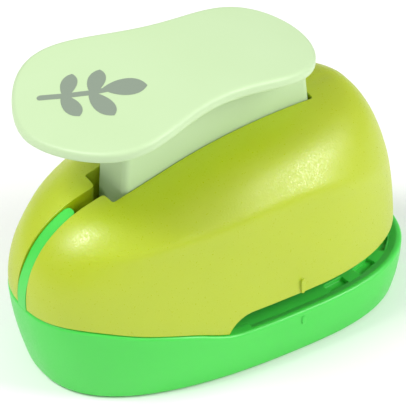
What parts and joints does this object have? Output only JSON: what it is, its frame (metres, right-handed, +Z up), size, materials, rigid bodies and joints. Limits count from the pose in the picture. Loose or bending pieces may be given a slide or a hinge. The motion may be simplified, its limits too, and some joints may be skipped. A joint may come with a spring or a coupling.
{
  "type": "craft punch",
  "caption": "Thumb-lever paper punch with a domed two-part case, a wide front mouth, a steel die set that cuts a leaf sprig, and an arched thumb plate.",
  "frame": {"origin": "centre of the model's bounding box in plan, on the surface the punch stands on", "axes": "+Z up, +X towards the paper mouth at the front, -X towards the thumb end, Y across"},
  "size_m": [0.0861, 0.0484, 0.0651],
  "materials": {
    "housing_plastic": "moulded, fine spark-eroded grain",
    "tray_plastic": "moulded, satin",
    "lever_plastic": "moulded, satin",
    "print_ink": "pad printed",
    "ground_steel": "ground flat",
    "zinc_casting": "cast, tumbled",
    "plated_steel": "zinc plated",
    "spring_steel": "drawn wire",
    "nylon": "moulded, natural"
  },
  "bodies": {
    "root": {"upper_housing": "housing_plastic", "base_tray": "tray_plastic", "die_plate": "ground_steel", "throat_spacer": "ground_steel", "guide_plate": "ground_steel", "plate_rivets": "plated_steel", "die_screws": "plated_steel", "guide_posts": "plated_steel", "post_washers": "plated_steel", "post_caps": "plated_steel", "left_return_spring": "spring_steel", "right_return_spring": "spring_steel", "pivot_bracket": "plated_steel", "bracket_screws": "plated_steel", "pivot_pin": "plated_steel", "pivot_clips": "plated_steel", "housing_screws": "plated_steel"},
    "ram": {"punch_ram": "zinc_casting", "sprig_punch": "ground_steel", "punch_screws": "plated_steel"},
    "lever": {"thumb_lever": "lever_plastic", "leaf_print": "print_ink", "press_arm": "plated_steel", "arm_bushes": "nylon", "press_roller": "nylon", "roller_pin": "plated_steel", "lever_screws": "plated_steel"}
  },
  "joints": [
    {"name": "lever_hinge", "type": "hinge", "parent": "root", "child": "lever", "pos_m": [0.026, 0, 0.038], "axis": [0, -1, 0], "range_deg": [0, 9.5], "stiffness_Nm_per_rad": 2.5, "springref_deg": -8.59},
    {"name": "ram_slide", "type": "slide", "parent": "root", "child": "ram", "axis": [0, 0, -1], "range_m": [0, 0.0028], "deforming": ["left_return_spring", "right_return_spring"]}
  ],
  "couplings": [
    {"joint": "ram_slide", "follows": "lever_hinge", "m_per_rad": 0.0166}
  ]
}
